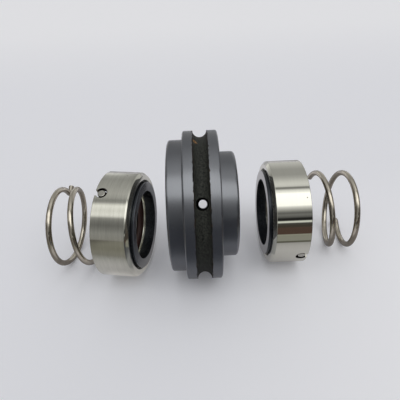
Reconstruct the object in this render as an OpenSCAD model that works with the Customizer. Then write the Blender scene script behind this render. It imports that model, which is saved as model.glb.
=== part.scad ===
/* [Shaft] */
// Diameter of the shaft that the seal fits
shaft_d = 35; // [32:0.5:38]

/* [Stationary seat] */
// Radial clearance between the shaft and the bore of the seat
seat_bore_gap = 1.5; // [1:0.1:2]
// Wall of the smaller shoulder, from the bore outwards
right_shoulder_wall = 8; // [7.5:0.5:9.5]
// Length of the smaller shoulder, from the flange to its lapped end
right_shoulder_l = 8.4; // [6:0.1:12]
// Wall of the larger shoulder, from the bore outwards
left_shoulder_wall = 14.7; // [12:0.1:16]
// Length of the larger shoulder, from the flange to its lapped end
left_shoulder_l = 7.5; // [6:0.1:12]
// Height of the flange above the larger shoulder
flange_h = 4.3; // [4:0.1:8]
// Width of the flange along the shaft
flange_w = 17.1; // [14:0.1:24]
// Radius of the round groove in the rim of the flange
groove_r = 3.6; // [3:0.1:4.5]
// Depth of the groove below the rim
groove_depth = 3.4; // [2.5:0.1:3.8]
// Diameter of the two radial ports in the floor of the groove
port_d = 5.2; // [4:0.1:5.8]
// Angle of the first port above the horizontal, on the near side
port_angle = 33.6; // [0:0.1:90]
// Radius of the rounded outer edges of both shoulders
shoulder_round = 1.4; // [0.5:0.1:2]
// Chamfer on the edges of the flange and of the bore
seat_chamfer = 0.6; // [0.3:0.1:1]

/* [Carbon face ring] */
// Radial clearance between the shaft and the ring
ring_bore_gap = 0.5; // [0.3:0.1:1]
// Radial width of the sealing face on the nose
face_w = 4.8; // [4:0.1:5.5]
// Length of the ring along the shaft
ring_l = 5.5; // [5:0.1:8]
// Length of the narrower nose at the front of the ring
nose_l = 2.7; // [2.2:0.1:3.5]
// How far the nose stands out of the front of the retainer
nose_out = 1.4; // [0.8:0.1:2]
// Radial step from the nose to the seated base of the ring
nose_step = 0.9; // [0.5:0.1:1.5]
// Bevel on both edges of the sealing face
face_bevel = 0.3; // [0.1:0.05:0.4]

/* [Retainer] */
// Wall of the retainer around the base of the face ring
retainer_wall = 3.9; // [3.5:0.1:6]
// Overall length of a head, from the sealing face to the rear rim
head_l = 19.9; // [18:0.1:24]
// Chamfer on the front edge of the retainer
front_chamfer = 1.5; // [0.8:0.1:1.8]
// Chamfer on the rear edge of the retainer
rear_chamfer = 0.4; // [0.2:0.1:0.8]
// Thickness of the inner web between the face ring and the O-ring
web_t = 1.5; // [1.2:0.1:3]
// Radial clearance between the shaft and the web
web_gap = 0.8; // [0.3:0.1:1]
// Chamfer on both edges of the web's bore
web_chamfer = 0.35; // [0.2:0.05:0.5]
// Radial clearance left around the base of the face ring
seat_fit = 0.02; // [0.01:0.01:0.05]
// Diameter of the drive hole near the rear rim
notch_d = 5.6; // [5:0.1:6]
// Distance of the drive hole's centre from the rear rim
notch_inset = 3.2; // [2.8:0.1:3.5]
// Width of the mouth that joins the drive hole to the rear rim
mouth_w = 3.3; // [3.2:0.1:4]

/* [O-ring and thrust ring] */
// Diameter of the O-ring's cord
cord_d = 3.5; // [2.6:0.1:4]
// Clearance around the O-ring in its chamber
cord_gap = 0.05; // [0.03:0.01:0.2]
// Thickness of the thrust ring behind the O-ring
thrust_t = 2.2; // [1.5:0.1:2.6]
// Radial clearance between the shaft and the thrust ring
thrust_bore_gap = 0.6; // [0.3:0.1:1]
// Clearance around the thrust ring in the retainer
thrust_gap = 0.1; // [0.05:0.05:0.2]

/* [Coil spring] */
// Diameter of the round wire
wire_d = 3; // [2.4:0.1:3.2]
// Radial clearance between the shaft and the coils
coil_gap = 1.5; // [1:0.1:2]
// Radial clearance between the coils and the retainer
coil_seat_gap = 3.1; // [0.4:0.1:3.6]
// Pitch of the open coils
pitch = 14.8; // [12:0.1:18]
// Wire angle from the bent end to the plain end, in degrees
coil_angle = 630; // [560:10:720]
// Wire angle of the closed coil at the bent end, in degrees
closed_angle = 186; // [120:2:240]
// Wire angle over which the closed coil turns into the open ones
blend_angle = 45; // [20:5:60]
// Bend radius of the tang, at the middle of the wire
tang_bend = 2.5; // [2:0.1:4]
// Straight length of the tang beyond its bend
tang_l = 3; // [0.6:0.1:3.4]

/* [Places on the table] */
// Gap between the larger shoulder and the left head
left_head_gap = 14; // [10:0.5:30]
// Distance of the left head behind the seat's axis, at its sealing face
left_head_y = -1.7; // [-10:0.1:10]
// Turn of the left head on the table, its sealing face towards the front
left_head_turn = 8.7; // [0:0.1:12]
// Gap between the smaller shoulder and the right head
right_head_gap = 15.6; // [10:0.1:30]
// Distance of the right head behind the seat's axis
right_head_y = 5.5; // [-10:0.1:10]
// Gap between the left head and its spring
left_spring_gap = 8.7; // [7:0.1:20]
// Distance of the left spring behind the seat's axis
left_spring_y = 6.9; // [-10:0.1:20]
// Turn of the left spring on the table, its plain end towards the front
left_spring_turn = 2; // [0:0.1:6]
// Gap between the right head and its spring
right_spring_gap = 10.4; // [8:0.1:20]
// Distance of the right spring behind the seat's axis
right_spring_y = 15; // [-10:0.1:20]
// Turn of the right spring on the table, its plain end towards the back
right_spring_turn = 4.1; // [0:0.1:6]
// Angle of the left head's notch above the horizontal, on the near side
left_notch_angle = 68; // [0:1:180]
// Angle of the right head's notch above the horizontal, on the near side
right_notch_angle = -22; // [-60:1:180]
// Angle of the left spring's tang above the horizontal, on the near side
left_tang_angle = 147; // [0:1:200]
// Angle of the right spring's tang above the horizontal, on the near side
right_tang_angle = -121; // [-180:1:-120]

/* [Hidden] */
$fn = 96;
// Cuts run this far past the faces that they open
over = 1;
wire_sides = 16;
wire_step = 10;
bend_steps = 6;

shaft_r = shaft_d / 2;

seat_bore_r = shaft_r + seat_bore_gap;
right_shoulder_r = seat_bore_r + right_shoulder_wall;
left_shoulder_r = seat_bore_r + left_shoulder_wall;
flange_r = left_shoulder_r + flange_h;
seat_left_x = -flange_w / 2 - left_shoulder_l;
seat_right_x = flange_w / 2 + right_shoulder_l;

ring_bore_r = shaft_r + ring_bore_gap;
nose_r = ring_bore_r + face_w;
base_r = nose_r + nose_step;

wire_r = wire_d / 2;
coil_r = shaft_r + coil_gap + wire_r;
coil_out_r = coil_r + wire_r;

socket_r = base_r + seat_fit;
retainer_r = socket_r + retainer_wall;
web_r = shaft_r + web_gap;
chamber_r = shaft_r + cord_d + cord_gap;
spring_seat_r = coil_out_r + coil_seat_gap;
web_front_x = -ring_l;
web_rear_x = web_front_x - web_t;
chamber_end_x = web_rear_x - cord_d - 2 * cord_gap;

table_z = -flange_r;
head_z = table_z + retainer_r;
spring_z = table_z + coil_out_r;
left_face_x = seat_left_x - left_head_gap;
right_face_x = seat_right_x + right_head_gap;
left_spring_x = left_face_x - head_l * cos(left_head_turn) - left_spring_gap;
right_spring_x = right_face_x + head_l + right_spring_gap;

// A body of revolution about X, from a half section drawn as [radius, x]
module turned() {
    rotate([0, 90, 0]) rotate_extrude() children();
}

// One cylindrical step of a half section, from x = 0 to x = l, with its outer edge rounded at x = l
module rounded_step(r, l, edge) {
    square([r - edge, l]);
    square([r, l - edge]);
    translate([r - edge, l - edge]) circle(r = edge);
}

// The flange's half section, with chamfered corners
module flange_step() {
    half_w = flange_w / 2;
    polygon([
        [0, -half_w],
        [flange_r - seat_chamfer, -half_w],
        [flange_r, seat_chamfer - half_w],
        [flange_r, half_w - seat_chamfer],
        [flange_r - seat_chamfer, half_w],
        [0, half_w]
    ]);
}

// The bore's half section, opened by a chamfer at both lapped ends
module bore_section() {
    polygon([
        [-over, seat_left_x - over],
        [seat_bore_r + seat_chamfer + over, seat_left_x - over],
        [seat_bore_r, seat_left_x + seat_chamfer],
        [seat_bore_r, seat_right_x - seat_chamfer],
        [seat_bore_r + seat_chamfer + over, seat_right_x + over],
        [-over, seat_right_x + over]
    ]);
}

// One solid ring of hard ceramic: two shoulders with lapped ends, and a grooved flange between them
module stationary_seat() {
    color([0.36, 0.37, 0.38])
    difference() {
        turned() difference() {
            union() {
                flange_step();
                rounded_step(right_shoulder_r, seat_right_x, shoulder_round);
                mirror([0, 1, 0]) rounded_step(left_shoulder_r, -seat_left_x, shoulder_round);
            }
            translate([flange_r - groove_depth + groove_r, 0]) circle(r = groove_r);
            bore_section();
        }
        rotate([90 - port_angle, 0, 0])
            translate([0, 0, -flange_r - over])
                cylinder(h = 2 * (flange_r + over), d = port_d, $fn = 48);
    }
}

// Half section of the turned steel cup that carries the face ring, the O-ring and the thrust ring
module retainer_section() {
    polygon([
        [socket_r + rear_chamfer, -nose_out],
        [retainer_r - front_chamfer, -nose_out],
        [retainer_r, -nose_out - front_chamfer],
        [retainer_r, rear_chamfer - head_l],
        [retainer_r - rear_chamfer, -head_l],
        [spring_seat_r + rear_chamfer, -head_l],
        [spring_seat_r, rear_chamfer - head_l],
        [spring_seat_r, chamber_end_x],
        [chamber_r, chamber_end_x],
        [chamber_r, web_rear_x],
        [web_r + web_chamfer, web_rear_x],
        [web_r, web_rear_x + web_chamfer],
        [web_r, web_front_x - web_chamfer],
        [web_r + web_chamfer, web_front_x],
        [socket_r, web_front_x],
        [socket_r, -nose_out - rear_chamfer]
    ]);
}

// A radial hole near the rear rim, open to the rim through a mouth, that takes the tang of a spring
module drive_notch(angle) {
    rotate([-angle, 0, 0])
        translate([notch_inset - head_l, 0, 0]) {
            rotate([90, 0, 0]) cylinder(h = retainer_r + over, d = notch_d, $fn = 48);
            translate([-notch_inset - over, -retainer_r - over, -mouth_w / 2])
                cube([notch_inset + over, retainer_r + over, mouth_w]);
        }
}

// The cup of a head, its front at x = -nose_out and its rear rim at x = -head_l
module retainer(notch_angle) {
    color([0.66, 0.66, 0.62])
    difference() {
        turned() retainer_section();
        drive_notch(notch_angle);
    }
}

// The stepped carbon ring, its lapped sealing face at x = 0
module face_ring() {
    color([0.13, 0.13, 0.14])
    turned() polygon([
        [ring_bore_r + face_bevel, 0],
        [nose_r - face_bevel, 0],
        [nose_r, -face_bevel],
        [nose_r, -nose_l],
        [base_r, -nose_l],
        [base_r, -ring_l],
        [ring_bore_r, -ring_l],
        [ring_bore_r, -face_bevel]
    ]);
}

// The O-ring that grips the shaft, in its chamber behind the web
module o_ring() {
    color([0.32, 0.14, 0.10])
    turned() translate([shaft_r + cord_d / 2, web_rear_x - cord_gap - cord_d / 2]) circle(d = cord_d, $fn = 48);
}

// The ring that closes the chamber and passes the spring's push to the O-ring
module thrust_ring() {
    front_x = chamber_end_x - thrust_gap;
    inner_r = shaft_r + thrust_bore_gap;
    outer_r = spring_seat_r - thrust_gap;
    color([0.60, 0.60, 0.58])
    turned() polygon([
        [inner_r, front_x],
        [outer_r, front_x],
        [outer_r, front_x - thrust_t + rear_chamfer],
        [outer_r - rear_chamfer, front_x - thrust_t],
        [inner_r + rear_chamfer, front_x - thrust_t],
        [inner_r, front_x - thrust_t + rear_chamfer]
    ]);
}

// How far the wire has moved along the shaft, a given angle from the bent end
function rise(angle) =
    let (past = angle - closed_angle)
    pitch / 360 * (sqrt(past * past + blend_angle * blend_angle) + past) / 2;
free_l = rise(coil_angle) - rise(0) + wire_d;

// Middle of the wire: out of the tang, round its bend and along the coils to the plain end
function tang_point(turn) = [
    wire_r - free_l,
    tang_bend * sin(turn),
    coil_r + tang_bend * (1 - cos(turn))
];
function coil_point(angle) = [
    wire_r - free_l + rise(angle) - rise(0),
    -coil_r * sin(angle),
    coil_r * cos(angle)
];
wire_path = concat(
    [tang_point(90) + [0, 0, tang_l]],
    [for (k = [0:bend_steps - 1]) tang_point(90 * (1 - k / bend_steps))],
    [for (angle = [0:wire_step:coil_angle]) coil_point(angle)]
);

// Direction of the wire at point k, and the ring of points around it
function unit(v) = v / norm(v);
function wire_dir(k) =
    unit(wire_path[min(k + 1, len(wire_path) - 1)] - wire_path[max(k - 1, 0)]);
function wire_ring(k) =
    let (side = unit(cross(wire_dir(k), [1, 0, 0])))
    let (up = cross(side, wire_dir(k)))
    [for (j = [0:wire_sides - 1])
        wire_path[k] + wire_r * (cos(360 * j / wire_sides) * side + sin(360 * j / wire_sides) * up)];

// A coil spring of round wire with one closed coil that ends in a tang bent outwards, pointing up;
// its plain end touches x = 0
module coil_spring() {
    rings = len(wire_path);
    points = [for (k = [0:rings - 1]) each wire_ring(k)];
    sides = [
        for (k = [0:rings - 2])
            for (j = [0:wire_sides - 1])
                let (a = k * wire_sides + j)
                let (b = k * wire_sides + (j + 1) % wire_sides)
                [a, a + wire_sides, b + wire_sides, b]
    ];
    first_end = [for (j = [0:wire_sides - 1]) j];
    last_end = [for (j = [wire_sides - 1:-1:0]) (rings - 1) * wire_sides + j];
    color([0.62, 0.61, 0.58])
    polyhedron(points, concat(sides, [first_end, last_end]), convexity = 6);
}

// The places where the loose pieces lie, each on its own rim on the table
module at_left_head() {
    translate([left_face_x, left_head_y, head_z]) rotate([0, 0, -left_head_turn]) children();
}
module at_right_head() {
    translate([right_face_x, right_head_y, head_z]) rotate([0, 0, 180]) children();
}
module at_left_spring() {
    translate([left_spring_x, left_spring_y, spring_z])
        rotate([0, 0, -left_spring_turn]) rotate([90 - left_tang_angle, 0, 0]) children();
}
module at_right_spring() {
    translate([right_spring_x, right_spring_y, spring_z])
        rotate([0, 0, 180 - right_spring_turn]) rotate([right_tang_angle - 90, 0, 0]) children();
}

module left_retainer() {
    at_left_head() retainer(left_notch_angle);
}
module left_face_ring() {
    at_left_head() face_ring();
}
module left_o_ring() {
    at_left_head() o_ring();
}
module left_thrust_ring() {
    at_left_head() thrust_ring();
}
module left_spring() {
    at_left_spring() coil_spring();
}
module right_retainer() {
    at_right_head() retainer(180 - right_notch_angle);
}
module right_face_ring() {
    at_right_head() face_ring();
}
module right_o_ring() {
    at_right_head() o_ring();
}
module right_thrust_ring() {
    at_right_head() thrust_ring();
}
module right_spring() {
    at_right_spring() coil_spring();
}

stationary_seat();
left_retainer();
left_face_ring();
left_o_ring();
left_thrust_ring();
left_spring();
right_retainer();
right_face_ring();
right_o_ring();
right_thrust_ring();
right_spring();
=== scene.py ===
import math

import bmesh
import bpy
from mathutils import Matrix, Vector, noise


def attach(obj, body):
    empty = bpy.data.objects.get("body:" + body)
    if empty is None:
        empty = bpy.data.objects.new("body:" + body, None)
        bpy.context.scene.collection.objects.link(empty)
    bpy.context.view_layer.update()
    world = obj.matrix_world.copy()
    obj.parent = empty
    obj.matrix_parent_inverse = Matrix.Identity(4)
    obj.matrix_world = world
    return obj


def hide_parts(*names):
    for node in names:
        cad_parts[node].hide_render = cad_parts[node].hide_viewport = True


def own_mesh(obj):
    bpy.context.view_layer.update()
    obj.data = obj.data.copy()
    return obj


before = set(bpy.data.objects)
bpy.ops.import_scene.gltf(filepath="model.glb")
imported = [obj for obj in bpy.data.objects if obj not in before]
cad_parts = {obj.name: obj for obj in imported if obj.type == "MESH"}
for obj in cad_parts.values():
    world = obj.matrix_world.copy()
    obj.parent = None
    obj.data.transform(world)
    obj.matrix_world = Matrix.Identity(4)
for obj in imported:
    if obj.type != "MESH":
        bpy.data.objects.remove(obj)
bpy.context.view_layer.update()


# Stationary seat: one ring of hard ceramic, ground on the outside and lapped on both ends. The half-round
# groove in its flange is left rough from the mould, and two ports run in line from it to the bore. Sizes
# in this script are in millimetres, and the finishes work in metres.
MM = 0.001
BORE_R = 19.0
SMALL_SHOULDER_R = 27.0
LARGE_SHOULDER_R = 33.7
FLANGE_R = 37.99
FLANGE_HALF = 8.55
SEAT_LEFT = -16.05
SEAT_RIGHT = 16.95
GROOVE_R = 3.6
GROOVE_CENTRE_R = 38.2
GROOVE_EDGE_R = 36.8
GROOVE_EDGE_WIDTH = 1.2
PORT_D = 5.2
PORT_ANGLE = 33.6
PORT_LEAN = -0.5
DRILL_L = 90
SHARP_ANGLE = math.radians(32)
LONG_SIDE = 4.0
SUPPORT_GAP = 0.12


def softened(outline, steps=6):
    """The outline's points, with each corner that has a third number rounded to that radius.

    Where a long side meets a rounding, one more point close by keeps its shading straight."""
    points = []
    for k, corner in enumerate(outline):
        here = Vector(corner[:2])
        before = Vector(outline[k - 1][:2])
        after = Vector(outline[(k + 1) % len(outline)][:2])
        radius = corner[2] if len(corner) > 2 else 0
        if not radius:
            points.append(here)
            continue
        back = (before - here).normalized()
        ahead = (after - here).normalized()
        half = back.angle(ahead) / 2
        middle = here + (back + ahead).normalized() * radius / math.sin(half)
        first = here + back * radius / math.tan(half) - middle
        last = here + ahead * radius / math.tan(half) - middle
        if (before - here).length > LONG_SIDE:
            points.append(middle + first + back * SUPPORT_GAP)
        for s in range(steps + 1):
            points.append(middle + first.slerp(last, s / steps).normalized() * radius)
        if (after - here).length > LONG_SIDE:
            points.append(middle + last + ahead * SUPPORT_GAP)
    return points


def new_piece(name, mesh_builder, place=Matrix.Identity(4)):
    """A mesh object from a bmesh in millimetres, moved to its place in the shared frame."""
    mesh_builder.transform(Matrix.Scale(MM, 4) @ place)
    bmesh.ops.recalc_face_normals(mesh_builder, faces=mesh_builder.faces)
    mesh = bpy.data.meshes.new(name)
    mesh_builder.to_mesh(mesh)
    mesh_builder.free()
    mesh.shade_smooth()
    mesh.set_sharp_from_angle(angle=SHARP_ANGLE)
    piece = bpy.data.objects.new(name, mesh)
    bpy.context.scene.collection.objects.link(piece)
    return piece


def turned(outline, around, wander=None):
    """A bmesh: the closed outline of (place along X, radius) points, spun round the X axis."""
    work = bmesh.new()
    rings = []
    for step in range(around):
        turn = 2 * math.pi * step / around
        ring = []
        for along, radius in outline:
            if wander:
                along, radius = wander(along, radius, turn)
            ring.append(work.verts.new((along, -radius * math.cos(turn), radius * math.sin(turn))))
        rings.append(ring)
    for step in range(around):
        ring, after = rings[step], rings[(step + 1) % around]
        for k in range(len(outline)):
            n = (k + 1) % len(outline)
            work.faces.new((ring[k], ring[n], after[n], after[k]))
    return work


def baked(piece):
    """A mesh of the piece with its modifiers applied."""
    bpy.context.view_layer.update()
    ready = piece.evaluated_get(bpy.context.evaluated_depsgraph_get())
    return bpy.data.meshes.new_from_object(ready)


def cut_away(piece, cutter):
    """Takes a closed cutter object out of a piece, and deletes it."""
    cut = piece.modifiers.new("cut", "BOOLEAN")
    cut.operation = "DIFFERENCE"
    cut.solver = "EXACT"
    cut.object = cutter
    whole = baked(piece)
    piece.modifiers.clear()
    piece.data = whole
    bpy.data.objects.remove(cutter)
    whole.shade_smooth()
    whole.set_sharp_from_angle(angle=SHARP_ANGLE)


def groove_arc(steps=28):
    """The half-round groove's points, from its left edge on the rim to its right one."""
    reach = math.pi - math.acos((FLANGE_R - GROOVE_CENTRE_R) / GROOVE_R)
    arc = []
    for s in range(steps + 1):
        swing = reach * (2 * s / steps - 1)
        arc.append((GROOVE_R * math.sin(swing), GROOVE_CENTRE_R - GROOVE_R * math.cos(swing)))
    return arc


def rough_groove(along, radius, turn):
    """Moves the groove's points a little, most at its two edges, as the moulded surface does."""
    if math.hypot(along, radius - GROOVE_CENTRE_R) > GROOVE_R + 0.05:
        return along, radius
    spot = Vector((along, radius * math.cos(turn), radius * math.sin(turn))) * 0.9
    fine = noise.noise(spot * 1.7)
    coarse = noise.noise(spot * 0.45 + Vector((7, 3, 1)))
    edge = min(1.0, max(0.0, (radius - GROOVE_EDGE_R) / GROOVE_EDGE_WIDTH))
    pitted = 1 + 0.016 * fine
    spread = pitted + (fine / 24 + coarse / 40) * edge
    return along * spread, min(FLANGE_R, GROOVE_CENTRE_R + (radius - GROOVE_CENTRE_R) * pitted)


left_half = [(SEAT_LEFT, BORE_R, 0.5), (SEAT_LEFT, LARGE_SHOULDER_R, 1.0),
             (-FLANGE_HALF, LARGE_SHOULDER_R, 0.3), (-FLANGE_HALF, FLANGE_R, 0.8)]
right_half = [(FLANGE_HALF, FLANGE_R, 0.8), (FLANGE_HALF, SMALL_SHOULDER_R, 0.3),
              (SEAT_RIGHT, SMALL_SHOULDER_R, 1.4), (SEAT_RIGHT, BORE_R, 0.5)]
seat_outline = softened(left_half + groove_arc() + right_half)
seat = new_piece("seat_ring", turned(seat_outline, 384, rough_groove))

port_work = bmesh.new()
bmesh.ops.create_cone(port_work, cap_ends=True, segments=48, radius1=PORT_D / 2, radius2=PORT_D / 2,
                      depth=DRILL_L)
mouth = Matrix.Rotation(math.radians(90 - PORT_ANGLE), 4, "X") @ Matrix.Translation((0, 0, FLANGE_R))
lean = Matrix.Rotation(math.radians(PORT_LEAN), 4, "Y")
port_drill = new_piece("port_drill", port_work, mouth @ lean @ Matrix.Translation((0, 0, -FLANGE_R)))
cut_away(seat, port_drill)
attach(seat, "seat")
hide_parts("stationary_seat")


class Channel:
    """One output of a node. Arithmetic on it adds Math nodes to its finish, as in 1 - mask."""

    def __init__(self, finish, socket):
        self.finish = finish
        self.socket = socket

    def maths(self, operation, *values):
        return self.finish.add("ShaderNodeMath", {"operation": operation}, values)

    def __add__(self, other):
        return self.maths("ADD", self, other)

    def __radd__(self, other):
        return self.maths("ADD", other, self)

    def __sub__(self, other):
        return self.maths("SUBTRACT", self, other)

    def __rsub__(self, other):
        return self.maths("SUBTRACT", other, self)

    def __mul__(self, other):
        return self.maths("MULTIPLY", self, other)

    def __rmul__(self, other):
        return self.maths("MULTIPLY", other, self)

    def __truediv__(self, other):
        return self.maths("DIVIDE", self, other)

    def __rtruediv__(self, other):
        return self.maths("DIVIDE", other, self)

    def __pow__(self, power):
        return self.maths("POWER", self, power)

    def __rpow__(self, base):
        return self.maths("POWER", base, self)

    def ramp(self, low, high):
        """0 below low and 1 above high, or the other way round where low is the larger."""
        return self.finish.add("ShaderNodeMapRange", {"interpolation_type": "SMOOTHSTEP"}, {
            "Value": self, "From Min": low, "From Max": high, "To Min": 0.0, "To Max": 1.0})


class Finish:
    """A material, or the world, with one method that adds any node to it."""

    def __init__(self, name, holder=None):
        self.holder = holder or bpy.data.materials.new(name)
        self.holder.use_nodes = True
        self.tree = self.holder.node_tree
        self.tree.nodes.clear()

    def add(self, kind, settings, sockets=(), out=0):
        """Adds a node with its settings, fills its input sockets and gives one of its outputs."""
        node = self.tree.nodes.new(kind)
        for key, value in settings.items():
            if key == "stops":
                ramp = node.color_ramp
                while len(ramp.elements) < len(value):
                    ramp.elements.new(1.0)
                for stop, (spot, colour) in zip(ramp.elements, value):
                    stop.position = spot
                    stop.color = (*colour, 1.0)
            else:
                setattr(node, key, value)
        pairs = sockets.items() if isinstance(sockets, dict) else enumerate(sockets)
        for key, value in pairs:
            socket = node.inputs[key]
            if isinstance(value, Channel):
                self.tree.links.new(value.socket, socket)
            elif hasattr(socket.default_value, "__len__") and len(socket.default_value) == 4:
                socket.default_value = (*value, 1.0)
            else:
                socket.default_value = value
        return Channel(self, node.outputs[out]) if node.outputs else None

    def mix(self, share, first, second):
        """The first colour where share is 0, and the second where it is 1."""
        return self.add("ShaderNodeMix", {"data_type": "RGBA"}, {0: share, 6: first, 7: second}, out=2)

    def speckle(self, spot, scale, detail=2.0, rough=0.5):
        """Noise about 0.5, its scale in lumps to the metre."""
        return self.add("ShaderNodeTexNoise", {}, {
            "Vector": spot, "Scale": scale, "Detail": detail, "Roughness": rough})

    def split(self, vector):
        """The three numbers of a vector."""
        return tuple(self.add("ShaderNodeSeparateXYZ", {}, (vector,), out=k) for k in range(3))

    def near(self, spot, place):
        """How far a point is from a place, in metres."""
        sockets = {0: spot, 1: place}
        return self.add("ShaderNodeVectorMath", {"operation": "DISTANCE"}, sockets, out="Value")

    def lathe_spot(self, centre, turn):
        """Where a point lies on a turned piece, from the piece's centre in millimetres and its turn.

        It gives the point, then how far it is along the axis, to the side, up, out from the axis and
        round it, in metres and radians."""
        spot = self.add("ShaderNodeTexCoord", {}, out="Object")
        spot = self.add("ShaderNodeMapping", {"vector_type": "TEXTURE"}, {
            "Vector": spot, "Location": tuple(c * MM for c in centre), "Rotation": (0, 0, turn)})
        along, side, up = self.split(spot)
        out = (side * side + up * up) ** 0.5
        return spot, along, side, up, out, side.maths("ARCTAN2", up, side)

    def surface(self, **sockets):
        """The surface shader, with its sockets named in words joined by underscores."""
        named = {key.replace("_", " "): value for key, value in sockets.items()}
        shader = self.add("ShaderNodeBsdfPrincipled", {}, named)
        self.add("ShaderNodeOutputMaterial", {}, {"Surface": shader})
        return self.holder

    def relief(self, height, depth):
        """A bump, its depth in metres."""
        return self.add("ShaderNodeBump", {}, {"Strength": 1.0, "Distance": depth, "Height": height})


RUST_SPOT = (-0.0024, -0.0002, 0.0355)
GROUND_DARK = (0.018, 0.020, 0.026)
GROUND_LIGHT = (0.025, 0.027, 0.034)
GRAIN_DARK = (0.007, 0.0078, 0.0068)
GRAIN_LIGHT = (0.052, 0.056, 0.046)
# Near-black colour used as painted shade in the groove's lower part and on the ports' walls.
PAINTED_SHADE = (0.001, 0.001, 0.001)
CHIPPED_RIM = (0.003, 0.003, 0.003)
RUSTY_RIM = (0.05, 0.030, 0.014)
RUST = (0.55, 0.27, 0.08)
RUST_PIT = (0.010, 0.007, 0.006)


def ceramic_finish():
    """Ground ceramic, grainy in the groove with chipped edges. The groove goes near-black towards its lower
    part, and the ports' walls are black: both are painted shade.
    """
    finish = Finish("ground_ceramic")
    spot, along, side, up, out, round_it = finish.lathe_spot((0, 0, 0), 0)
    grain = finish.speckle(spot, 1500, 3, 0.65)
    chips = finish.speckle(spot, 650, 3, 0.7)
    cloud = finish.speckle(spot, 70, 2)
    ragged = finish.speckle(spot, 420, 3, 0.65)
    track = finish.add("ShaderNodeCombineXYZ", {}, (along * 2.0, out, round_it * 0.012))
    wipe = finish.speckle(track, 160, 3, 0.6)

    chipped = along.maths("ABSOLUTE", along) + (chips - 0.5) * 0.0023
    in_groove = chipped.ramp(0.00376, GROOVE_R * MM) * out.ramp(0.030, 0.031)
    slope = math.radians(PORT_ANGLE)
    beside = side * math.sin(slope) + up * math.cos(slope)
    off_port = (along * along + beside * beside) ** 0.5
    in_port = off_port.ramp(0.00297, 0.00279) * out.ramp(0.0360, 0.0357)
    edge = chipped.ramp(0.0031, 0.0035) * (1 - in_port)

    ground = finish.mix(cloud.ramp(0.3, 0.7), GROUND_DARK, GROUND_LIGHT)
    rough = finish.mix(grain.ramp(0.35, 0.65), GRAIN_DARK, GRAIN_LIGHT)
    # Painted shade: the groove's rough colour goes near-black towards its lower part, near the floor.
    rough = finish.mix(up.ramp(-0.014, -0.033) * 0.85, rough, PAINTED_SHADE)
    rim = finish.mix(ragged.ramp(0.50, 0.60), CHIPPED_RIM, RUSTY_RIM)
    rough = finish.mix(edge * 0.85, rough, rim)
    off_rust = finish.near(spot, RUST_SPOT)
    rust = (off_rust + (ragged - 0.5) * 0.0022).ramp(0.0016, 0.0008)
    pit = (off_rust + (ragged - 0.5) * 0.0008).ramp(0.0006, 0.0004)
    rough = finish.mix(rust * 0.85, rough, RUST)
    rough = finish.mix(pit, rough, RUST_PIT)

    shine = finish.mix(wipe, (0.17, 0.17, 0.17), (0.25, 0.25, 0.25))
    smooth = finish.add("ShaderNodeBsdfPrincipled", {}, {
        "Base Color": ground, "Roughness": shine, "IOR": 2.55, "Specular Tint": (0.92, 0.95, 1.0)})
    mould = finish.add("ShaderNodeBsdfPrincipled", {}, {
        "Base Color": rough, "Roughness": 0.7, "IOR": 1.38, "Normal": finish.relief(grain, 0.00025)})
    outside = finish.add("ShaderNodeMixShader", {}, (in_groove, smooth, mould))
    # Painted shade: the ports' walls are a black diffuse surface, as if no light reached them.
    port_shade = finish.add("ShaderNodeBsdfDiffuse", {}, {"Color": PAINTED_SHADE})
    both = finish.add("ShaderNodeMixShader", {}, (in_port, outside, port_shade))
    finish.add("ShaderNodeOutputMaterial", {}, {"Surface": both})
    return finish.holder


seat.data.materials.append(ceramic_finish())


# Retainers: the turned stainless-steel cups of the two rotary heads. The left one is satin from the lathe
# and lies a little askew, and the right one is nearly polished. A drive hole is drilled near each one's
# rear rim, and a narrower slot is milled into it from the rim.
HEAD_Z = -10.38
HEAD_CENTRES = {"left": (-30.05, -1.7, HEAD_Z), "right": (32.55, 5.5, HEAD_Z)}
HEAD_TURNS = {"left": math.radians(-8.7), "right": math.pi}
HEAD_L = 19.9
CUP_R = 27.62
CUP_FRONT = -1.4
SOCKET_R = 23.72
SPRING_SEAT_R = 25.1
CHAMFER = 1.5
CHAMBER_R = 21.05
WEB_R = 18.3
SOCKET_DEPTH = 5.5
WEB_BACK = 7.0
CHAMBER_BACK = 10.6
HOLE_R = 2.8
HOLE_INSET = 3.2
MOUTH_W = 3.3
CUT_FROM_R = 12.0
HOLE_ANGLES = {"left": 68, "right": 202}
head_places = {side: Matrix.Translation(HEAD_CENTRES[side]) @ Matrix.Rotation(HEAD_TURNS[side], 4, "Z")
               for side in ("left", "right")}


def notch_cutter(place, angle):
    """The cutter of the drilled hole and its slot, pointing out from the axis at an angle from -Y."""
    work = bmesh.new()
    middle = HOLE_INSET - HEAD_L
    meet = math.asin(MOUTH_W / 2 / HOLE_R)
    outline = [(-HEAD_L - 2, -MOUTH_W / 2)]
    outline += [(middle - HOLE_R * math.cos(a), -HOLE_R * math.sin(a))
                for a in (meet + (2 * math.pi - 2 * meet) * s / 36 for s in range(37))]
    outline += [(-HEAD_L - 2, MOUTH_W / 2)]
    low = [work.verts.new((x, -CUT_FROM_R, z)) for x, z in outline]
    high = [work.verts.new((x, -CUP_R - 3, z)) for x, z in outline]
    work.faces.new(low)
    work.faces.new(high)
    for k in range(len(outline)):
        n = (k + 1) % len(outline)
        work.faces.new((low[k], low[n], high[n], high[k]))
    return new_piece("slot_cutter", work, place @ Matrix.Rotation(math.radians(-angle), 4, "X"))


PIT = (0.12, 0.11, 0.09)
# Dark colour painted on the drive hole's wall as shade in the recess.
HOLE_SHADE = (0.022, 0.021, 0.018)


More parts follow.
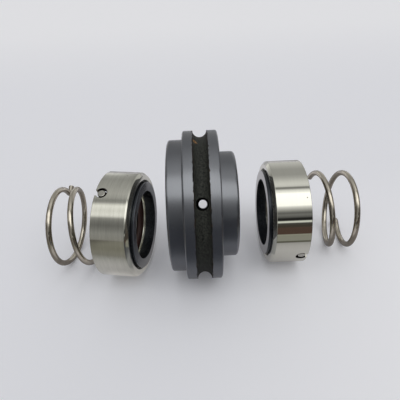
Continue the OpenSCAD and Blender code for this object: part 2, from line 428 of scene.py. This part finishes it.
def steel_finish(name, centre, turn, tint, shine, line_shade, line_depth, hole_angle=0,
                 pit_spot=(0, 0, 1)):
    """Turned steel: its tool marks run round the axis, and its ends carry the same marks as rings.

    line_shade is how much darker the marks are than the tint, and line_depth is how deep they are, in
    metres. The drive hole's wall at hole_angle is painted dark as shade, and a dark speck lies at pit_spot,
    which by default is far from every piece."""
    finish = Finish(name)
    spot, along, side, up, out, round_it = finish.lathe_spot(centre, turn)
    track = finish.add("ShaderNodeCombineXYZ", {}, (along, out, round_it * 0.0010))
    fine = finish.speckle(track, 5200, 2, 0.6)
    broad = finish.speckle(track, 1100, 2, 0.6)
    smear = finish.speckle(spot, 120, 3, 0.6)
    dark = tuple(c * (1 - line_shade) for c in tint)
    colour = finish.mix((fine * 0.5 + broad * 0.5).ramp(0.3, 0.7), dark, tint)
    unmoved = finish.add("ShaderNodeTexCoord", {}, out="Object")
    pit = finish.near(unmoved, pit_spot).ramp(0.00045, 0.0002)
    colour = finish.mix(pit * 0.8, colour, PIT)
    lean = math.radians(180 - hole_angle)
    past = along - (HOLE_INSET - HEAD_L) * MM
    beside = up * math.cos(lean) - side * math.sin(lean)
    outward = up * math.sin(lean) + side * math.cos(lean)
    in_hole = ((past * past + beside * beside) ** 0.5).ramp(0.00297, 0.00283) * outward.ramp(0.020, 0.024)
    # Painted shade: the drive hole's wall is darkened.
    colour = finish.mix(in_hole, colour, HOLE_SHADE)
    worn = (smear - 0.5) * 0.05 + (broad - 0.5) * line_shade * 0.25 + shine
    finish.surface(Base_Color=colour, Metallic=1.0, Roughness=worn,
                   Normal=finish.relief(fine * 0.6 + broad * 0.4, line_depth))
    return finish.holder


def cup_outline(chamfer_softness):
    """The cup's section, from the lip round the outside to the bottom of the face ring's socket."""
    return softened([
        (CUP_FRONT, SOCKET_R, 0.35), (CUP_FRONT, CUP_R - CHAMFER, 0.35),
        (CUP_FRONT - CHAMFER, CUP_R, chamfer_softness), (-HEAD_L, CUP_R, 0.25),
        (-HEAD_L, SPRING_SEAT_R, 0.35), (-CHAMBER_BACK, SPRING_SEAT_R, 0.2),
        (-CHAMBER_BACK, CHAMBER_R, 0.1), (-WEB_BACK, CHAMBER_R, 0.2), (-WEB_BACK, WEB_R, 0.35),
        (-SOCKET_DEPTH, WEB_R, 0.35), (-SOCKET_DEPTH, SOCKET_R)])


steel = {}
for side, place in head_places.items():
    centre, turn, angle = HEAD_CENTRES[side], HEAD_TURNS[side], HOLE_ANGLES[side]
    if side == "left":
        chamfer_softness = 1.5
        steel[side] = steel_finish("satin_steel", centre, turn, tint=(0.61, 0.605, 0.53), shine=0.10,
                                   line_shade=0.15, line_depth=0.0000010, hole_angle=angle,
                                   pit_spot=(-0.03715, 0.00349, 0.01694))
    else:
        chamfer_softness = 0.4
        steel[side] = steel_finish("polished_steel", centre, turn, tint=(0.64, 0.635, 0.56), shine=0.045,
                                   line_shade=0.035, line_depth=0.00000008, hole_angle=angle,
                                   pit_spot=(0.05048, -0.01309, 0.01004))
    cup = new_piece(side + "_cup", turned(cup_outline(chamfer_softness), 288), place)
    cut_away(cup, notch_cutter(place, angle))
    cup.data.materials.append(steel[side])
    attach(cup, side + "_head")
    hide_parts(side + "_retainer")


# Drive dogs: a round steel button stands in each retainer's drive hole, on a finger that reaches back from
# the thrust ring's edge, so that the two pieces turn together.
BUTTON_R = 1.95
BUTTON_H = 3.6
BUTTON_OUT = 25.5
FINGER = (6.0, 1.5, 4.6)
FINGER_OUT = 24.15
FINGER_FROM_FACE = 15.9


def drive_dog(name, place, angle):
    """The finger that lies under the drive hole, with the round button that stands up into the hole."""
    work = bmesh.new()
    bmesh.ops.create_cone(work, cap_ends=True, segments=48, radius1=BUTTON_R, radius2=BUTTON_R,
                          depth=BUTTON_H)
    top = [e for e in work.edges if all(v.co.z > 1 for v in e.verts)]
    bmesh.ops.bevel(work, geom=top, offset=0.5, segments=5, affect="EDGES", profile=0.5)
    under_hole = Matrix.Translation((HOLE_INSET - HEAD_L - 0.15, -BUTTON_OUT, 0))
    work.transform(under_hole @ Matrix.Rotation(math.pi / 2, 4, "X"))
    finger = Matrix.Translation((-FINGER_FROM_FACE, -FINGER_OUT, 0)) @ Matrix.Diagonal((*FINGER, 1.0))
    bmesh.ops.create_cube(work, size=1.0, matrix=finger)
    return new_piece(name, work, place @ Matrix.Rotation(math.radians(-angle), 4, "X"))


dog_steel = steel_finish("dog_steel", (0, 0, 0), 0, tint=(0.50, 0.49, 0.44), shine=0.25, line_shade=0.2,
                         line_depth=0.000002)
for side, place in head_places.items():
    dog = drive_dog(side + "_drive_dog", place, HOLE_ANGLES[side])
    dog.data.materials.append(dog_steel)
    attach(dog, side + "_head")
    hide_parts(side + "_retainer")


# Face rings: resin-bonded carbon, pressed into the front of each cup. The nose stands out of the cup,
# and its end is lapped flat and smooth.
NOSE_R = 22.8
NOSE_L = 2.7
RING_R = 23.68
RING_BORE_R = 18.0
CARBON_DARK = (0.006, 0.0072, 0.0100)
CARBON_LIGHT = (0.012, 0.0138, 0.018)
# Painted highlight along the left nose's outer edge; the right one's edge takes the carbon's lighter tone.
PAINTED_EDGE_HIGHLIGHT = {"left": (0.10, 0.105, 0.12), "right": (0.012, 0.014, 0.018)}


def carbon_finish(side):
    """Matt carbon, shiny on the lapped face, and painted paler along the nose's outer edge as a highlight.
    """
    finish = Finish(side + "_carbon")
    spot, along, _, _, out, _ = finish.lathe_spot(HEAD_CENTRES[side], HEAD_TURNS[side])
    grain = finish.speckle(spot, 1600, 3)
    lapped = along.ramp(-0.00025, -0.00012)
    colour = finish.mix(grain.ramp(0.4, 0.7), CARBON_DARK, CARBON_LIGHT)
    # Painted highlight: the nose's outer edge is made paler.
    edge_highlight = out.ramp((NOSE_R - 0.5) * MM, (NOSE_R - 0.2) * MM) * along.ramp(-0.0006, -0.0002)
    colour = finish.mix(edge_highlight * 0.8, colour, PAINTED_EDGE_HIGHLIGHT[side])
    shine = finish.mix(lapped, (0.24, 0.24, 0.24), (0.12, 0.12, 0.12))
    finish.surface(Base_Color=colour, Roughness=shine, IOR=1.5, Specular_Tint=(0.84, 0.92, 1.0),
                   Coat_Weight=0.0 if side == "left" else lapped * 0.75, Coat_Roughness=0.1,
                   Normal=finish.relief(grain * (1 - lapped), 0.00004))
    return finish.holder


ring_back = 0.02 - SOCKET_DEPTH
nose_outline = softened([
    (0, RING_BORE_R, 0.3), (0, NOSE_R, 0.28), (-NOSE_L, NOSE_R, 0.2), (-NOSE_L, RING_R, 0.2),
    (ring_back, RING_R, 0.1), (ring_back, RING_BORE_R, 0.1)])
for side, place in head_places.items():
    nose = new_piece(side + "_nose", turned(nose_outline, 256), place)
    nose.data.materials.append(carbon_finish(side))
    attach(nose, side + "_head")
    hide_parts(side + "_face_ring")


# O-rings: moulded rings of dark reddish rubber. Each sits loose in the chamber behind the carbon ring and
# grips the shaft.
CORD_R = 1.74
CORD_CENTRE_R = 19.25
CORD_FROM_FACE = 8.8
RUBBER_DARK = (0.040, 0.012, 0.009)
RUBBER_LIGHT = (0.06, 0.020, 0.014)


def rubber_finish():
    """Semi-matt rubber with a fine grain from its mould."""
    finish = Finish("brown_rubber")
    spot = finish.add("ShaderNodeTexCoord", {}, out="Object")
    grain = finish.speckle(spot, 1100, 3)
    colour = finish.mix(grain.ramp(0.3, 0.7), RUBBER_DARK, RUBBER_LIGHT)
    finish.surface(Base_Color=colour, Roughness=0.42, Normal=finish.relief(grain, 0.00002))
    return finish.holder


rubber = rubber_finish()
cord_outline = [(-CORD_FROM_FACE + CORD_R * math.cos(a), CORD_CENTRE_R + CORD_R * math.sin(a))
                for a in (2 * math.pi * s / 28 for s in range(28))]
for side, place in head_places.items():
    cord = new_piece(side + "_cord_ring", turned(cord_outline, 192), place)
    cord.data.materials.append(rubber)
    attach(cord, side + "_carrier")
    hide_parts(side + "_o_ring")


# Thrust rings: flat turned steel rings that lie loose in the retainers behind the O-rings and take the push
# of the springs. From the camera's side the retainers hide them.
THRUST_FRONT = -10.72
THRUST_BACK = -12.88
THRUST_BORE_R = 18.12
THRUST_R = 24.98
thrust_outline = softened([(THRUST_FRONT, THRUST_BORE_R, 0.1), (THRUST_FRONT, THRUST_R, 0.1),
                           (THRUST_BACK, THRUST_R, 0.4), (THRUST_BACK, THRUST_BORE_R, 0.4)])
for side, place in head_places.items():
    thrust = new_piece(side + "_backing_ring", turned(thrust_outline, 192), place)
    ring_steel = steel["left"] if side == "left" else steel_finish(
        "right_ring_steel", HEAD_CENTRES[side], HEAD_TURNS[side], tint=(0.58, 0.57, 0.52), shine=0.2,
        line_shade=0.1, line_depth=0.000005)
    thrust.data.materials.append(ring_steel)
    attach(thrust, side + "_carrier")
    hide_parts(side + "_thrust_ring")


# Coil springs: round stainless wire wound right-handed on a mandrel. One coil is closed, and its end is
# bent outwards into a tang; the other end is cut off plain.
WIRE_D = 3.0
WIRE_R = WIRE_D / 2 - 0.01
WIRE_SIDES = 24
COIL_R = 20.5
PITCH = 14.8
COIL_ANGLE = 630
CLOSED_ANGLE = 186
BLEND_ANGLE = 45
TANG_BEND = 2.5
TANG_L = 3.0
SPRING_Z = -16.0
LEFT_SPRING = (-58.42, 6.9, SPRING_Z)
LEFT_SPRING_TURN = math.radians(-2)
LEFT_SPRING_ROLL = math.radians(-57)
RIGHT_SPRING = (62.85, 15.0, SPRING_Z)
RIGHT_SPRING_TURN = math.radians(175.9)
RIGHT_SPRING_ROLL = math.radians(-211)
WIRE_DARK = (0.50, 0.46, 0.385)
WIRE_LIGHT = (0.60, 0.555, 0.465)


def rise(angle):
    """How far the wire has moved along the axis, this many degrees from the tang."""
    past = angle - CLOSED_ANGLE
    return PITCH / 360 * (math.hypot(past, BLEND_ANGLE) + past) / 2


FREE_L = rise(COIL_ANGLE) - rise(0) + WIRE_D


def wire_path():
    """The middle of the wire, from the tang's end to the plain one, with the plain end at X = 0."""
    start = WIRE_D / 2 - FREE_L
    path = [Vector((start, TANG_BEND, COIL_R + TANG_BEND + TANG_L * (1 - s / 3))) for s in range(3)]
    for s in range(8):
        bend = math.pi / 2 * (1 - s / 8)
        height = COIL_R + TANG_BEND * (1 - math.cos(bend))
        path.append(Vector((start, TANG_BEND * math.sin(bend), height)))
    for angle in range(0, COIL_ANGLE + 1, 3):
        lean = math.radians(angle)
        along = start + rise(angle) - rise(0)
        path.append(Vector((along, -COIL_R * math.sin(lean), COIL_R * math.cos(lean))))
    return path


def wire_tree(material):
    """Geometry nodes that run a round wire along a line of points, and close its two ends."""
    tree = bpy.data.node_groups.new("round_wire", "GeometryNodeTree")
    tree.interface.new_socket("Path", in_out="INPUT", socket_type="NodeSocketGeometry")
    tree.interface.new_socket("Wire radius", in_out="INPUT", socket_type="NodeSocketFloat")
    tree.interface.new_socket("Sides", in_out="INPUT", socket_type="NodeSocketInt")
    tree.interface.new_socket("Wire", in_out="OUTPUT", socket_type="NodeSocketGeometry")
    nodes, link = tree.nodes, tree.links.new
    given = nodes.new("NodeGroupInput")
    line = nodes.new("GeometryNodeMeshToCurve")
    section = nodes.new("GeometryNodeCurvePrimitiveCircle")
    run = nodes.new("GeometryNodeCurveToMesh")
    smooth = nodes.new("GeometryNodeSetShadeSmooth")
    real = nodes.new("GeometryNodeRealizeInstances")
    paint = nodes.new("GeometryNodeSetMaterial")
    result = nodes.new("NodeGroupOutput")
    paint.inputs["Material"].default_value = material
    run.inputs["Fill Caps"].default_value = True
    link(given.outputs["Path"], line.inputs["Mesh"])
    link(given.outputs["Wire radius"], section.inputs["Radius"])
    link(given.outputs["Sides"], section.inputs["Resolution"])
    link(line.outputs["Curve"], run.inputs["Curve"])
    link(section.outputs["Curve"], run.inputs["Profile Curve"])
    link(run.outputs["Mesh"], smooth.inputs["Geometry"])
    link(smooth.outputs["Geometry"], real.inputs["Geometry"])
    link(real.outputs["Geometry"], paint.inputs["Geometry"])
    link(paint.outputs["Geometry"], result.inputs["Wire"])
    return tree


def wire_finish():
    """Bright drawn wire, faintly smeared."""
    finish = Finish("drawn_wire")
    spot = finish.add("ShaderNodeTexCoord", {}, out="Object")
    marks = finish.speckle(spot, 260, 3, 0.55)
    smear = finish.speckle(spot, 90, 2)
    colour = finish.mix(marks.ramp(0.3, 0.7), WIRE_DARK, WIRE_LIGHT)
    finish.surface(Base_Color=colour, Metallic=1.0, Roughness=(smear - 0.5) * 0.06 + 0.13,
                   Normal=finish.relief(marks, 0.0000025))
    return finish.holder


round_wire = wire_tree(wire_finish())
left_lay = (Matrix.Translation(LEFT_SPRING) @ Matrix.Rotation(LEFT_SPRING_TURN, 4, "Z")
            @ Matrix.Rotation(LEFT_SPRING_ROLL, 4, "X"))
right_lay = (Matrix.Translation(RIGHT_SPRING) @ Matrix.Rotation(RIGHT_SPRING_TURN, 4, "Z")
             @ Matrix.Rotation(RIGHT_SPRING_ROLL, 4, "X"))
for side, lay in (("left", left_lay), ("right", right_lay)):
    points = [Matrix.Scale(MM, 4) @ lay @ p for p in wire_path()]
    path_mesh = bpy.data.meshes.new(side + "_path")
    path_mesh.from_pydata(points, [(k, k + 1) for k in range(len(points) - 1)], [])
    wire = bpy.data.objects.new(side + "_path", path_mesh)
    bpy.context.scene.collection.objects.link(wire)
    sweep = wire.modifiers.new("wire", "NODES")
    sweep.node_group = round_wire
    for item in round_wire.interface.items_tree:
        if item.name == "Wire radius":
            sweep[item.identifier] = WIRE_R * MM
        if item.name == "Sides":
            sweep[item.identifier] = WIRE_SIDES
    coil_mesh = baked(wire)
    bpy.data.objects.remove(wire)
    coil_mesh.set_sharp_from_angle(angle=math.radians(50))
    coil = bpy.data.objects.new(side + "_coil_spring", coil_mesh)
    bpy.context.scene.collection.objects.link(coil)
    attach(coil, side + "_coil")
    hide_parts(side + "_spring")
    tuple(Matrix.Scale(MM, 4) @ lay @ Vector((-FREE_L, 0, 0)))
    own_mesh(coil)


# Table: a flat sheet of pale paper that the pieces lie on, its colour painted paler to the right and to the
# back as light falloff. The steel mirrors a darker strip in front of them than the camera sees, so mirrored
# rays meet the sheet in other colours: painted reflections, with a painted glow near the pieces.
TABLE_Z = -38
STRIP_START = -200
STRIP_L = 180
FAN_ORIGIN = 0.1


def table_finish():
    """Pale paper to the camera, and painted reflections to rays from shiny pieces: darker strips in front
    of the row, and a glow near the pieces.
    """
    finish = Finish("pale_table")
    spot = finish.add("ShaderNodeTexCoord", {}, out="Object")
    across, away, _ = finish.split(spot)
    # Painted light: the sheet's colour is paler to the right and towards the back, as the light on it falls
    # off.
    near_colour = finish.mix(across.ramp(-0.06, 0.12), (0.85, 0.86, 0.905), (0.945, 0.95, 0.985))
    middle_colour = finish.mix(away.ramp(-0.05, 0.12), near_colour, (0.865, 0.875, 0.92))
    colour = finish.mix(away.ramp(0.22, 0.9), middle_colour, (0.96, 0.965, 0.99))
    mirrored = finish.add("ShaderNodeLightPath", {}, out="Is Glossy Ray")

    def strip(*stops):
        """The sheet's painted reflection colour from 200 mm in front of the row's axis to 20 mm in front of
        it.
        """
        spots = [((y - STRIP_START) / STRIP_L, tone) for y, tone in stops]
        place = (away - STRIP_START * MM) / (STRIP_L * MM)
        return finish.add("ShaderNodeValToRGB", {"stops": spots}, (place,))

    # Painted reflection: the tones that rays from the steel see on the sheet, strip by strip for left,
    # middle and right.
    left = strip((-200, (0.44, 0.43, 0.38)), (-111, (0.41, 0.40, 0.35)), (-95, (0.43, 0.42, 0.37)),
                 (-80, (0.46, 0.45, 0.41)), (-64, (0.46, 0.45, 0.42)), (-52, (0.60, 0.60, 0.61)),
                 (-35, (0.80, 0.79, 0.84)))
    middle = strip((-200, (0.14, 0.145, 0.16)), (-100, (0.155, 0.16, 0.18)), (-78, (0.18, 0.185, 0.205)),
                   (-60, (0.265, 0.275, 0.30)), (-40, (0.50, 0.51, 0.545)))
    right = strip((-200, (0.150, 0.098, 0.080)), (-134, (0.150, 0.098, 0.080)),
                  (-125, (0.60, 0.60, 0.52)), (-110, (0.48, 0.48, 0.42)),
                  (-67, (0.50, 0.50, 0.45)), (-65, (0.21, 0.21, 0.18)),
                  (-59, (0.21, 0.21, 0.18)), (-57, (0.64, 0.63, 0.65)), (-35, (0.79, 0.78, 0.82)))
    fan = across / (FAN_ORIGIN - away)
    shade = finish.mix(fan.ramp(-0.215, -0.185), left, middle)
    shade = finish.mix(fan.ramp(0.185, 0.215), shade, right)
    # Painted reflection: far to the sides the mirrored sheet is darker, except just behind the seat.
    behind_seat = away.ramp(0.0, 0.03) * across.maths("ABSOLUTE", across).ramp(0.045, 0.035)
    aside = fan.maths("ABSOLUTE", fan).ramp(0.48, 0.62) * (1 - behind_seat)
    shade = finish.mix(aside * 0.8, shade, (0.12, 0.11, 0.10))
    sheet = finish.add("ShaderNodeBsdfDiffuse", {}, {"Color": finish.mix(mirrored, colour, shade)})
    to_camera = finish.add("ShaderNodeLightPath", {}, out="Is Camera Ray")
    # Painted glow: mirrored rays see the sheet glow near the pieces' feet and more beside the left cup, a
    # painted reflection; camera rays see an even pale glow.
    painted_glow = finish.mix(away.ramp(-0.062, -0.042), (0.0, 0.0, 0.0), (0.085, 0.083, 0.088))
    by_left_cup = across.ramp(-0.056, -0.050) * across.ramp(-0.020, -0.026) * away.ramp(-0.028, -0.018)
    painted_glow = finish.mix(by_left_cup, painted_glow, (0.27, 0.26, 0.26))
    pale = finish.add("ShaderNodeEmission", {}, {
        "Color": finish.mix(mirrored, (0.094, 0.095, 0.101), painted_glow), "Strength": 1.0})
    seen = to_camera.maths("MAXIMUM", to_camera, mirrored)
    paler = finish.add("ShaderNodeAddShader", {}, (sheet, pale))
    both = finish.add("ShaderNodeMixShader", {}, (seen, sheet, paler))
    finish.add("ShaderNodeOutputMaterial", {}, {"Surface": both})
    return finish.holder


table_work = bmesh.new()
table_work.faces.new([table_work.verts.new((x, y, TABLE_Z))
                      for x, y in ((-3000, -2000), (3000, -2000), (3000, 4000), (-3000, 4000))])
table = new_piece("table", table_work)
table.data.materials.append(table_finish())


# Light: a broad soft box above and in front, long along the row, over a dim room, and paler walls behind.
# The right cup mirrors a thin pale sill. The camera stands where the photograph was taken from.
def room_light():
    """The world's light, from other walls for the left, middle and right of the row."""
    room = bpy.data.worlds.new("room")
    bpy.context.scene.world = room
    finish = Finish("room", room)
    ray = finish.add("ShaderNodeTexCoord", {}, out="Generated")
    across, away, up = finish.split(ray)
    height = (up.maths("ARCTAN2", up, away * -1.0) * (180 / math.pi) + 90) / 360

    def walls(*levels):
        """Light from the walls and the ceiling, by the angle from the front horizon over the zenith."""
        stops = [((degrees + 90) / 360, (value * warm / 2, value / 2, value / 2 / warm))
                 for degrees, value, warm in levels]
        return finish.add("ShaderNodeValToRGB", {"stops": stops}, (height,))

    right = walls((-90, 0.12, 1.15), (-21, 0.10, 1.2), (3, 0.055, 1.2), (9.5, 0.09, 1),
                  (14, 0.05, 1), (16.3, 0.02, 1), (18.8, 0.02, 1), (20.5, 0.11, 1), (23, 0.17, 1),
                  (26.5, 0.235, 1), (30, 0.15, 1), (33, 0.27, 1), (37.5, 0.53, 1), (43, 0.95, 1),
                  (46, 1.6, 1), (72, 1.8, 1), (76, 1.3, 1), (79, 1.1, 1), (81.5, 0.82, 1),
                  (84, 0.3, 1), (87, 0.25, 1), (89.5, 0.80, 1), (95, 0.88, 1), (101, 0.80, 1),
                  (112, 0.55, 1), (121, 0.43, 1), (140, 0.43, 1), (160, 0.60, 1), (178, 0.66, 1),
                  (200, 0.9, 1), (270, 0.8, 1))
    left = walls((-90, 0.30, 1.02), (0, 0.34, 1.02), (15, 0.36, 1), (24, 0.27, 1), (33, 0.20, 1),
                 (42, 0.26, 1), (49, 0.38, 1), (53, 1.0, 1), (56, 1.2, 1), (66, 1.05, 1),
                 (76, 1.25, 1), (80, 0.9, 1), (84, 0.40, 1), (89, 0.33, 1), (95, 0.50, 1),
                 (105, 0.57, 1), (125, 0.48, 1), (148, 0.41, 1), (162, 0.50, 1), (175, 0.85, 1),
                 (200, 1.2, 1), (270, 0.8, 1))
    middle = walls((-90, 0.10, 0.96), (-12, 0.10, 0.96), (2, 0.12, 0.97), (10, 0.17, 0.98),
                   (18, 0.23, 1), (26, 0.34, 1), (33, 0.47, 1), (39, 0.75, 1), (44, 1.3, 1),
                   (49, 2.05, 1), (70, 2.1, 1), (77, 2.0, 1), (84, 1.35, 1), (91, 1.02, 1),
                   (99, 0.92, 1), (106, 0.80, 1), (114, 0.66, 1), (131, 0.45, 1), (152, 0.42, 1),
                   (175, 0.45, 1), (190, 0.5, 1), (270, 0.5, 1))
    small = walls((-90, 0.14, 0.96), (-12, 0.14, 0.96), (2, 0.24, 0.97), (15, 0.36, 0.98),
                  (24, 0.54, 1), (30, 0.68, 1), (38, 0.87, 1), (44, 1.1, 1), (49, 1.4, 1),
                  (64, 1.5, 1), (72, 1.35, 1), (78, 1.05, 1), (84, 0.82, 1), (93, 0.67, 1),
                  (105, 0.65, 1), (114, 0.56, 1), (131, 0.40, 1), (152, 0.40, 1), (175, 0.45, 1),
                  (270, 0.5, 1))
    middle = finish.mix(across.ramp(0.05, 0.075), middle, small)
    middle = finish.mix(across.ramp(-0.045, -0.065) * 0.23, middle, (0.0, 0.0, 0.0))
    glow = finish.mix(across.ramp(0.125, 0.165), middle, right)
    glow = finish.mix(across.ramp(-0.12, -0.22), glow, left)
    sill_low, sill_high = (8.0 + 90) / 360, (14.3 + 90) / 360
    sill_blur = 2.2 / 360
    sill = height.ramp(sill_low, sill_low + sill_blur) * height.ramp(sill_high, sill_high - sill_blur)
    sill = sill * across.ramp(0.125, 0.165) * across.ramp(0.42, 0.36)
    glow = finish.mix(sill, glow, (0.42, 0.43, 0.41))
    aside = across.maths("ABSOLUTE", across).ramp(0.58, 0.78)
    glow = finish.mix(aside * 0.75, glow, (0.06, 0.055, 0.05))
    to_camera = finish.add("ShaderNodeLightPath", {}, out="Is Camera Ray")
    shown = finish.add("ShaderNodeBackground", {}, {"Color": (0.82, 0.83, 0.87), "Strength": 1.0})
    given = finish.add("ShaderNodeBackground", {}, {"Color": glow, "Strength": 2.0})
    both = finish.add("ShaderNodeMixShader", {}, (to_camera, given, shown))
    finish.add("ShaderNodeOutputWorld", {}, {"Surface": both})


room_light()
CAMERA_TILT = math.radians(33)
CAMERA_ROLL = math.radians(2.356)
CAMERA_PLACE = Vector((-1.004, -163.09, 108.55))
FOCAL_LENGTH_PX = 374.7
IMAGE_WIDTH_PX = 400
FILM_WIDTH = 36
ahead = Vector((0, math.cos(CAMERA_TILT), -math.sin(CAMERA_TILT)))
flat_up = Vector((0, math.sin(CAMERA_TILT), math.cos(CAMERA_TILT)))
camera_right = Vector((1, 0, 0)) * math.cos(CAMERA_ROLL) - flat_up * math.sin(CAMERA_ROLL)
camera_up = Vector((1, 0, 0)) * math.sin(CAMERA_ROLL) + flat_up * math.cos(CAMERA_ROLL)
facing = Matrix((camera_right, camera_up, -ahead)).transposed().to_4x4()
camera = bpy.data.objects.new("camera", bpy.data.cameras.new("camera"))
bpy.context.scene.collection.objects.link(camera)
camera.matrix_world = Matrix.Translation(CAMERA_PLACE * MM) @ facing
camera.data.sensor_width = FILM_WIDTH
camera.data.lens = FOCAL_LENGTH_PX / IMAGE_WIDTH_PX * FILM_WIDTH
camera.data.clip_start = 0.01
camera.data.clip_end = 20
bpy.context.scene.camera = camera
bpy.context.scene.view_settings.view_transform = "Standard"
